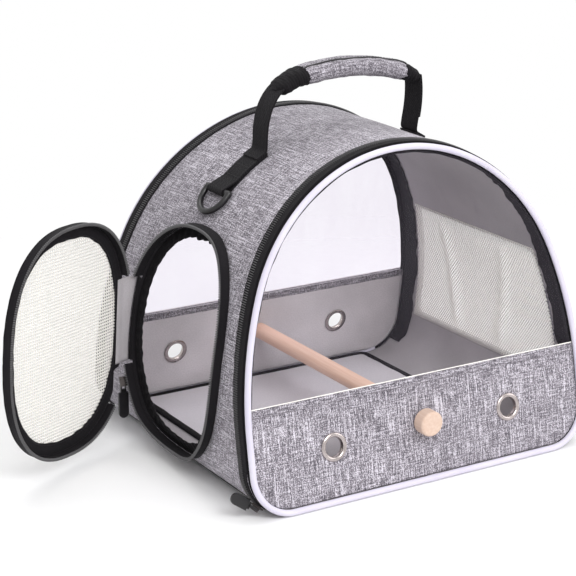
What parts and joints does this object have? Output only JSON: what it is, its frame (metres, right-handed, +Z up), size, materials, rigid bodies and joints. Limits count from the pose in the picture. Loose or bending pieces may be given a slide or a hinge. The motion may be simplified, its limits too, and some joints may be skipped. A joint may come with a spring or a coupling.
{
  "type": "bird travel carrier",
  "caption": "Arched fabric bird carrier with zipped clear end panels, an oval mesh side door, a mesh window, a wooden perch and a webbing handle.",
  "frame": {"origin": "middle of the base, on the ground", "axes": "+X right across the front panel, +Y from the front panel to the back panel, +Z up"},
  "size_m": [0.5048, 0.3067, 0.3385],
  "materials": {
    "heather_fabric": "woven polyester with light and dark slubs",
    "grey_lining": "smooth lining",
    "black_tape": "woven tape and webbing",
    "white_piping": "smooth round piping",
    "clear_film": "clear flexible film",
    "white_mesh": "open net",
    "board": "stiff board, matt",
    "dark_metal": "nickel plated",
    "perch_wood": "sanded, plain",
    "black_plastic": "moulded"
  },
  "bodies": {
    "tunnel": {"outer_shell": "heather_fabric", "wall_board": "board", "inner_lining": "grey_lining", "floor_board": "board", "floor_binding": "black_tape", "base_piping": "black_tape", "front_rim_zip": "black_tape", "back_rim_zip": "black_tape", "front_rim_tape": "black_tape", "back_rim_tape": "black_tape", "door_collar": "black_tape", "collar_teeth_row": "black_tape", "opening_binding": "black_tape", "hinge_flap": "grey_lining", "right_mesh": "white_mesh", "roof_straps": "black_tape", "door_slider": "dark_metal"},
    "front_panel": {"front_band": "heather_fabric", "front_band_board": "board", "front_window": "clear_film", "front_edge_tape": "black_tape", "front_zip_skirt": "black_tape", "front_piping": "white_piping", "front_eyelets": "dark_metal", "perch_screw": "dark_metal", "perch_washer": "dark_metal", "perch_dowel": "perch_wood"},
    "perch_knob": {"perch_knob": "perch_wood"},
    "back_panel": {"back_band": "heather_fabric", "back_band_board": "board", "back_window": "clear_film", "back_edge_tape": "black_tape", "back_zip_skirt": "black_tape", "back_piping": "white_piping", "back_eyelets": "dark_metal"},
    "side_door": {"door_frame": "black_tape", "door_net": "white_mesh"},
    "door_puller": {"door_puller": "black_plastic"},
    "left_strap": {"left_strap": "black_tape"},
    "grip": {"handle_grip": "heather_fabric", "handle_cuffs": "black_tape"},
    "right_strap": {"right_strap": "black_tape"},
    "left_d_ring": {"left_d_ring": "black_plastic"},
    "right_d_ring": {"right_d_ring": "black_plastic"},
    "front_slider": {"front_slider": "dark_metal"},
    "front_puller": {"front_puller": "black_plastic"},
    "back_slider": {"back_slider": "dark_metal"},
    "back_puller": {"back_puller": "black_plastic"}
  },
  "joints": [
    {"name": "front_panel_hinge", "type": "hinge", "parent": "tunnel", "child": "front_panel", "pos_m": [0, -0.15, 0.0027], "axis": [1, 0, 0], "range_deg": [0, 55]},
    {"name": "perch_knob_turn", "type": "hinge", "parent": "front_panel", "child": "perch_knob", "pos_m": [0, -0.1476, 0.053], "axis": [0, 1, 0], "continuous": true},
    {"name": "back_panel_hinge", "type": "hinge", "parent": "tunnel", "child": "back_panel", "pos_m": [0, 0.15, 0.0027], "axis": [-1, 0, 0], "range_deg": [0, 95]},
    {"name": "side_door_hinge", "type": "hinge", "parent": "tunnel", "child": "side_door", "pos_m": [-0.1776, 0.068, 0.112], "axis": [0.0611, 0, 0.9981], "range_deg": [-88, 62]},
    {"name": "door_puller_swing", "type": "hinge", "parent": "tunnel", "child": "door_puller", "pos_m": [-0.18, 0.06373, 0.05678], "axis": [1, 0, 0], "range_deg": [-20, 100]},
    {"name": "handle_fold", "type": "hinge", "parent": "tunnel", "child": "left_strap", "pos_m": [-0.076, 0, 0.26873], "axis": [0, 1, 0], "range_deg": [-20, 20]},
    {"name": "grip_level", "type": "hinge", "parent": "left_strap", "child": "grip", "pos_m": [-0.05, 0, 0.32398], "axis": [0, 1, 0], "range_deg": [-24, 24]},
    {"name": "right_strap_fold", "type": "hinge", "parent": "tunnel", "child": "right_strap", "pos_m": [0.076, 0, 0.26873], "axis": [0, 1, 0], "range_deg": [-24, 24]},
    {"name": "left_ring_swing", "type": "hinge", "parent": "tunnel", "child": "left_d_ring", "pos_m": [-0.11704, 0, 0.23703], "axis": [0, 1, 0], "range_deg": [0, 120]},
    {"name": "right_ring_swing", "type": "hinge", "parent": "tunnel", "child": "right_d_ring", "pos_m": [0.11704, 0, 0.23703], "axis": [0, -1, 0], "range_deg": [0, 120]},
    {"name": "front_slider_travel", "type": "hinge", "parent": "tunnel", "child": "front_slider", "pos_m": [-0.132, -0.13126, 0.038], "axis": [0, 0.9833, -0.1822], "range_deg": [0, 20]},
    {"name": "front_puller_swing", "type": "hinge", "parent": "front_slider", "child": "front_puller", "pos_m": [-0.16197, -0.13691, 0.00748], "axis": [0, -0.9833, 0.1822], "range_deg": [0, 50]},
    {"name": "back_slider_travel", "type": "hinge", "parent": "tunnel", "child": "back_slider", "pos_m": [0.132, 0.13126, 0.038], "axis": [0, -0.9833, -0.1822], "range_deg": [0, 20]},
    {"name": "back_puller_swing", "type": "hinge", "parent": "back_slider", "child": "back_puller", "pos_m": [0.16197, 0.13691, 0.00748], "axis": [0, 0.9833, 0.1822], "range_deg": [0, 50]}
  ],
  "couplings": [
    {"joint": "grip_level", "follows": "handle_fold", "ratio": -1.17},
    {"joint": "right_strap_fold", "follows": "handle_fold", "ratio": 1.17}
  ]
}
